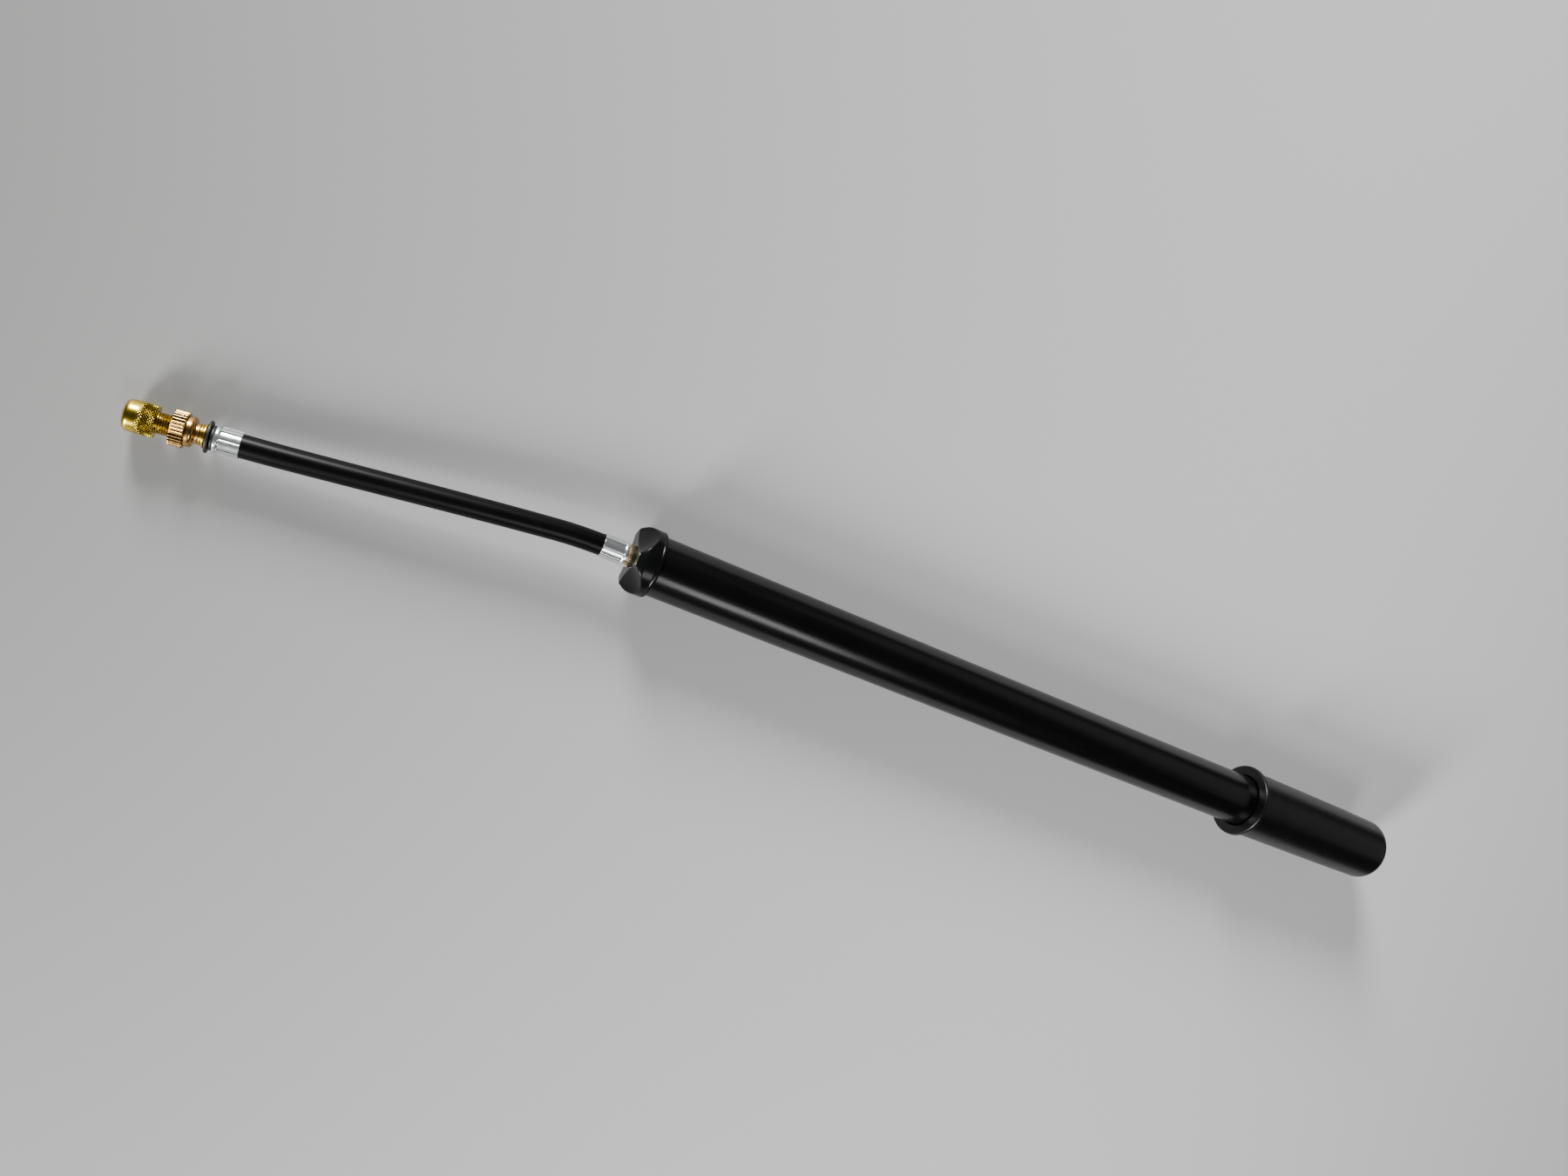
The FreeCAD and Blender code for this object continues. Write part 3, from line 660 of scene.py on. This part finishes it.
def make_handle():
    """Moulded sleeve with a hand flange, a round end and a pocket for the rod's insert."""
    pocket = SLEEVE_FLOOR + POCKET_DEPTH
    corners = [
        (pocket, 0.0, 0),
        (pocket, POCKET_RADIUS, 0),
        (SLEEVE_FLOOR, POCKET_RADIUS, 0),
        (SLEEVE_FLOOR, SLEEVE_BORE, 0),
        (0.0, SLEEVE_BORE, 0.3),
        (0.0, FLANGE_RADIUS, 0.8),
        (FLANGE_THICKNESS, FLANGE_RADIUS, 0.9),
        (FLANGE_THICKNESS, SLEEVE_BORE + WALL_AT_FLANGE, 0.25),
        (GRIP_STATION, SLEEVE_BORE + WALL_AT_GRIP, 0),
        (HANDLE_LENGTH, SLEEVE_BORE + WALL_AT_END, 5.0),
        (HANDLE_LENGTH, 0.0, 0),
    ]
    points = spaced(outline(corners, steps=10), gap=1.6)
    segments = FLUTES * POINTS_A_FLUTE
    sleeve = turned(
        "handle_sleeve", points, on_barrel(RIM), "plunger", "handle_plastic", segments, fluted, closed=False
    )
    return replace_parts(sleeve, "handle_grip")


# ---- rubber ring and disc in front of the valve's ferrule

RING_RADIUS = 4.35
RING_THICKNESS = 1.0
DISC_RADIUS = 5.65
DISC_EDGE_RADIUS = 5.2
DISC_THICKNESS = 1.6


def make_ring():
    """Plain rubber ring against the ferrule's floor."""
    corners = [
        (0.0, HOSE_BORE_RADIUS, 0),
        (0.0, RING_RADIUS, 0.3),
        (RING_THICKNESS, RING_RADIUS, 0.3),
        (RING_THICKNESS, HOSE_BORE_RADIUS, 0),
    ]
    ring = turned("rubber_ring", outline(corners), on_valve(FERRULE_FLOOR), "barrel", "rubber_black")
    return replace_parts(ring, "valve_spacer")


def make_disc():
    """Wider rubber disc on the ring, thinner towards its rounded edge."""
    corners = [
        (0.0, HOSE_BORE_RADIUS, 0),
        (0.3, DISC_EDGE_RADIUS, 0.2),
        (0.45, DISC_RADIUS, 0.2),
        (DISC_THICKNESS - 0.45, DISC_RADIUS, 0.2),
        (DISC_THICKNESS - 0.3, DISC_EDGE_RADIUS, 0.2),
        (DISC_THICKNESS, HOSE_BORE_RADIUS, 0),
    ]
    place = on_valve(FERRULE_FLOOR + RING_THICKNESS)
    disc = turned("rubber_disc", outline(corners), place, "barrel", "rubber_black")
    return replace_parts(disc, "backstop_disc")


# ---- valve end in brass

NIPPLE_LENGTH = 6.4
FLANGE_START = NIPPLE_LENGTH + 4.8
NUT_TEETH = 30
NUT_RADIUS = 6.25
NUT_THREAD_RADIUS = 3.9
NUT_BORE = 2.45
NUT_TOOTH_DEPTH = 0.42
TOOTH_CREST = 0.25


def make_valve_fitting():
    """Turned brass fitting: nipple, flange with a relief groove, stem and head."""
    flange_radius, groove_radius, step_radius = 4.3, 3.5, 3.75
    stem, stem_radius = FLANGE_START + 1.8, 2.4
    head, head_radius = FLANGE_START + 5.0, 3.3
    tip = FLANGE_START + 6.5
    corners = [
        (0.0, AIRWAY_RADIUS, 0),
        (0.0, HOSE_BORE_RADIUS, 0),
        (FLANGE_START, HOSE_BORE_RADIUS, 0),
        (FLANGE_START, flange_radius, 0.2),
        (FLANGE_START + 0.75, flange_radius, 0.2),
        (FLANGE_START + 0.85, groove_radius, 0.1),
        (FLANGE_START + 1.1, groove_radius, 0.1),
        (FLANGE_START + 1.2, step_radius, 0.15),
        (stem, step_radius, 0.15),
        (stem, stem_radius, 0),
        (head, stem_radius, 0),
        (head, head_radius, 0.2),
        (tip, head_radius, 0.2),
        (tip, AIRWAY_RADIUS, 0),
    ]
    fitting = turned("turned_fitting", outline(corners), on_valve(-NIPPLE_LENGTH), "barrel", "brass")
    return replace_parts(fitting, "valve_fitting")


def make_nut():
    """Straight-knurled nut with a smooth rounded shoulder and a short collar."""
    collar, floor, knurl, end = 1.5, 3.0, 4.3, 8.9
    collar_radius, shoulder_radius = 3.6, 5.3
    corners = [
        (0.0, NUT_BORE, 0),
        (0.0, collar_radius, 0.3),
        (collar, collar_radius, 0.15),
        (collar, shoulder_radius, 1.3),
        (knurl, shoulder_radius, 0),
        (knurl, NUT_RADIUS, 0.3),
        (end, NUT_RADIUS, 0.35),
        (end, NUT_THREAD_RADIUS, 0.2),
        (floor, NUT_THREAD_RADIUS, 0),
        (floor, NUT_BORE, 0),
    ]

    def knurled(x, angle, radius):
        """Straight teeth on the outside, which fade in over the edge beside the shoulder."""
        on_knurl = ease((radius - shoulder_radius - 0.05) / 0.35) * (x > knurl - 0.01)
        return radius - NUT_TOOTH_DEPTH * teeth(angle * NUT_TEETH / TURN, TOOTH_CREST) * on_knurl

    points = spaced(outline(corners), gap=0.3)
    place = along(VALVE_AXIS, NUT_START)
    segments = NUT_TEETH * POINTS_A_TOOTH
    nut = turned("knurled_nut", points, place, "swivel_nut", "copper_brass", segments, knurled)
    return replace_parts(nut, "swivel_nut")


# ---- valve adapter

ADAPTER_LENGTH = 17.5
ADAPTER_RADIUS = 5.6
HEAD_START = 7.6
THREAD_PITCH = 0.79375
THREAD_RADIUS = 3.85
THREAD_DEPTH = 0.42
THREAD_CHAMFER = 0.4
THREAD_RUN_IN = 0.8
THREAD_RUN_OUT = 0.5
MOUTH_START = ADAPTER_LENGTH - 7.0
MOUTH_PITCH = 1.058
MOUTH_RADIUS = 2.6
MOUTH_THREAD_DEPTH = 0.3
MOUTH_RUN_OUT = 0.6
KNURLS = 32
KNURL_DEPTH = 0.42
KNURL_END = 13.7
KNURL_RUN_IN = 0.35
KNURL_RUN_OUT = 3.0
POLISHED_END = 2.0
POINTS_A_KNURL = 8


def outer_thread(x, angle, radius):
    """Helical thread that the swivel nut turns on, run out at both ends."""
    outside = (radius > THREAD_RADIUS - THREAD_CHAMFER - 0.05) & (radius < THREAD_RADIUS + 0.05)
    threaded = outside & (x < HEAD_START - 0.05)
    run_out = ease(x / THREAD_RUN_IN) * ease((HEAD_START - 0.1 - x) / THREAD_RUN_OUT)
    return radius - THREAD_DEPTH * wave(x / THREAD_PITCH - angle / TURN) * run_out * threaded


def mouth_thread(x, angle, radius):
    """Coarser thread inside the mouth, its ridges standing inwards from the bore."""
    threaded = (np.abs(radius - MOUTH_RADIUS) < 0.05) & (x > MOUTH_START)
    run_out = ease((ADAPTER_LENGTH - 0.5 - x) / MOUTH_RUN_OUT)
    return radius - MOUTH_THREAD_DEPTH * wave(x / MOUTH_PITCH - angle / TURN) * run_out * threaded


def diamond_knurl(x, angle, radius):
    """Crossed grooves round the head that run out towards its polished end."""
    round_turns = angle * KNURLS / TURN
    spread = x * KNURLS / (TURN * ADAPTER_RADIUS)
    left = teeth(round_turns + spread, TOOTH_CREST)
    right = teeth(round_turns - spread, TOOTH_CREST)
    outside = radius > ADAPTER_RADIUS - 0.4
    on_head = outside & (x > HEAD_START - 0.01) & (x < ADAPTER_LENGTH - POLISHED_END)
    run_out = ease((x - HEAD_START + 0.2) / KNURL_RUN_IN) * ease((KNURL_END - x) / KNURL_RUN_OUT)
    return radius - KNURL_DEPTH * np.maximum(left, right) * run_out * on_head


def adapter_cuts(x, angle, radius):
    """All that is cut into the turned adapter, one tool after the other."""
    for tool in (outer_thread, mouth_thread, diamond_knurl):
        radius = tool(x, angle, radius)
    return radius


def make_adapter():
    """Adapter: threaded shank, knurled head with a polished round end, and a threaded mouth."""
    groove, groove_radius = MOUTH_START - 1.6, 2.9
    corners = [
        (0.0, AIRWAY_RADIUS, 0),
        (0.0, THREAD_RADIUS - THREAD_CHAMFER, 0),
        (THREAD_CHAMFER, THREAD_RADIUS, 0),
        (HEAD_START, THREAD_RADIUS, 0),
        (HEAD_START, ADAPTER_RADIUS, 0.3),
        (ADAPTER_LENGTH, ADAPTER_RADIUS - 0.08, 1.9),
        (ADAPTER_LENGTH, MOUTH_RADIUS, 0.35),
        (MOUTH_START, MOUTH_RADIUS, 0),
        (MOUTH_START, groove_radius, 0),
        (groove, groove_radius, 0),
        (groove, AIRWAY_RADIUS, 0),
    ]
    segments = KNURLS * POINTS_A_KNURL
    points = spaced(outline(corners), gap=TURN * ADAPTER_RADIUS / segments)
    place = along(VALVE_AXIS, THREAD_TIP)
    adapter = turned("thread_adapter", points, place, "adapter", "brass", segments, adapter_cuts)
    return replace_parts(adapter, "valve_adapter")


# ---- stage

FLOOR_HALF = 3.0
FLOOR_GAP = 5e-5
# painted shade: the table's colour turns from pale to this darker grey towards the hose's end, over the
# FLOOR_SHADE span of its X
FLOOR_PAINTED_SHADE = (0.13, 0.13, 0.127)
FLOOR_PALE = (0.60, 0.605, 0.60)
FLOOR_SHADE = (-0.80, 0.15)
FLOOR_ROUGHNESS = 0.6
FLOOR_GRAIN = 900
FLOOR_GRAIN_DEPTH = 2e-5
WORLD_COLOUR = (0.93, 0.97, 1.0)
WORLD_STRENGTH = 0.035
LIT_POINT = (-0.1, 0, AXIS_HEIGHT)

# each light: where it comes from, its distance and two sides in metres, and its power in watts
LIGHTS = {
    "window": ((0.16, -0.62, 0.76), 1.3, (0.42, 0.40), 5),
    "left_rear": ((-0.50, 0.78, 0.37), 1.6, (0.5, 0.4), 56),
    "left_front": ((-0.50, -0.76, 0.40), 1.6, (0.5, 0.4), 44),
    "dim_panel": ((0.78, 0.45, 0.56), 1.8, (0.9, 2.6), 2.6),
}


def floor_material():
    """Pale grey table with painted shade: its colour is a little darker towards the hose's end."""
    material, shader = new_material("table_top", FLOOR_PALE, 0, FLOOR_ROUGHNESS)
    nodes, links = material.node_tree.nodes, material.node_tree.links
    place = nodes.new("ShaderNodeSeparateXYZ")
    links.new(nodes.new("ShaderNodeTexCoord").outputs["Object"], place.inputs["Vector"])
    painted_shade = between(material, place.outputs["X"], 0, 1, *FLOOR_SHADE, interpolation="SMOOTHSTEP")
    links.new(colours(material, painted_shade, FLOOR_PAINTED_SHADE, FLOOR_PALE, 0, 1), shader.inputs["Base Color"])
    relief(material, shader, noise(material, FLOOR_GRAIN), FLOOR_GRAIN_DEPTH)
    return material


def make_floor():
    """Pale table top that the flange and the cap rest on."""
    mesh = bpy.data.meshes.new("table_top")
    corners = [(-1, -1), (1, -1), (1, 1), (-1, 1)]
    mesh.from_pydata([(x * FLOOR_HALF, y * FLOOR_HALF, 0) for x, y in corners], [], [(0, 1, 2, 3)])
    floor = bpy.data.objects.new("table_top", mesh)
    bpy.context.collection.objects.link(floor)
    slope = math.atan2(cap_low.z, RIM - cap_low.x)
    floor.matrix_world = Matrix.Translation((RIM, 0, -FLOOR_GAP)) @ Matrix.Rotation(slope, 4, "Y")
    paint(floor, floor_material())


def make_light(name, direction, distance, size, power):
    """A soft panel that faces the pump."""
    away = Vector(direction).normalized()
    data = bpy.data.lights.new(name, "AREA")
    data.shape = "RECTANGLE"
    data.size, data.size_y = size
    data.energy = power
    light = bpy.data.objects.new(name, data)
    bpy.context.collection.objects.link(light)
    turn = away.to_track_quat("Z", "X").to_matrix().to_4x4()
    light.matrix_world = Matrix.Translation(Vector(LIT_POINT) + away * distance) @ turn


def make_world():
    """Dim, slightly cool room round the lights."""
    world = bpy.data.worlds.new("studio")
    bpy.context.scene.world = world
    world.use_nodes = True
    background = world.node_tree.nodes["Background"]
    background.inputs["Color"].default_value = (*WORLD_COLOUR, 1)
    background.inputs["Strength"].default_value = WORLD_STRENGTH


# ---- everything in order

make_camera()
materials = {name: surface(name, **finish) for name, finish in FINISHES.items()}
for entry in frame["record"]["subparts"]:
    paint(frame["nodes"][entry["node"]], materials[entry["material_slot"]])

hose = make_hose()
on_hose = [make_pump_ferrule(), make_valve_ferrule(), make_collar()]
ring = make_ring()
disc = make_disc()
fitting = make_valve_fitting()
nut = make_nut()
adapter = make_adapter()
valve_end = [ring, disc, fitting, nut, adapter]
for piece in (hose, *on_hose, *valve_end, make_barrel(), make_cap(), make_handle()):
    paint(piece, materials[piece["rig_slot"]])

make_floor()
for name, values in LIGHTS.items():
    make_light(name, *values)
make_world()

bpy.context.view_layer.update()
